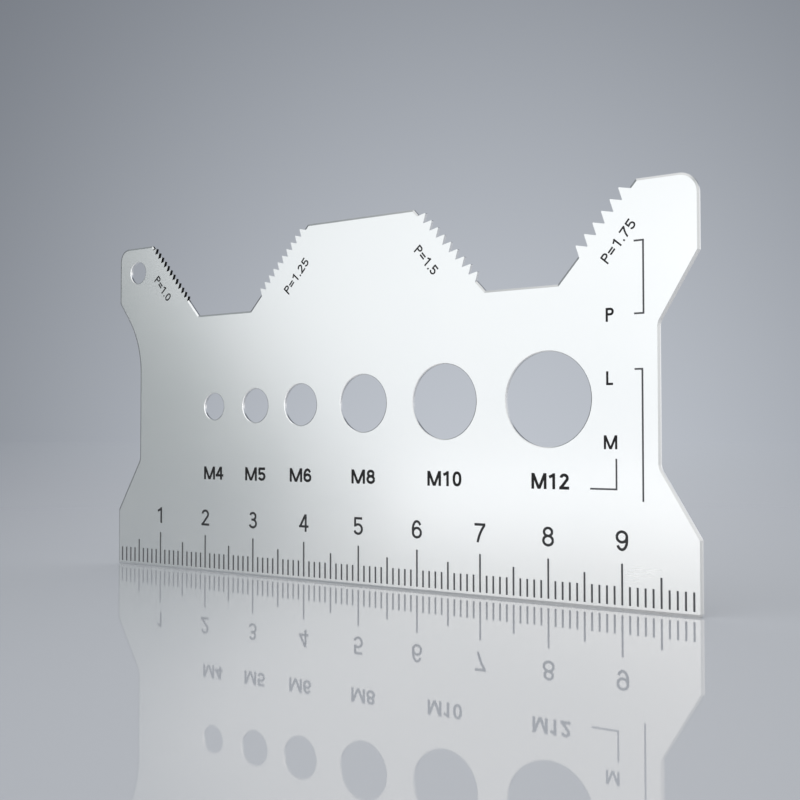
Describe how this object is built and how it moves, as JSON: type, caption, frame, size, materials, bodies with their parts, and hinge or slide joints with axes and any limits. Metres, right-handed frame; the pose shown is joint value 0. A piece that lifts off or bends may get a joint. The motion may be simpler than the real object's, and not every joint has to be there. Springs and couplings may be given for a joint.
{
  "type": "thread checker gauge",
  "caption": "Flat stainless gauge plate with thread pitch combs in its valleys, a row of screw size holes, a hanging hole and a printed ruler along its edge.",
  "frame": {"origin": "middle of the ruler edge, midway through the sheet", "axes": "+X along the ruler from its zero end, +Y from the marked face to the plain back, +Z from the ruler edge up to the ears"},
  "size_m": [0.1, 0.0006, 0.052],
  "materials": {
    "stainless": "satin",
    "black_ink": "matte printed ink"
  },
  "bodies": {
    "root": {"gauge_plate": "stainless", "millimetre_marks": "black_ink", "five_millimetre_marks": "black_ink", "centimetre_marks": "black_ink", "pitch_leader": "black_ink", "length_leader": "black_ink", "size_leader": "black_ink"}
  },
  "joints": []
}
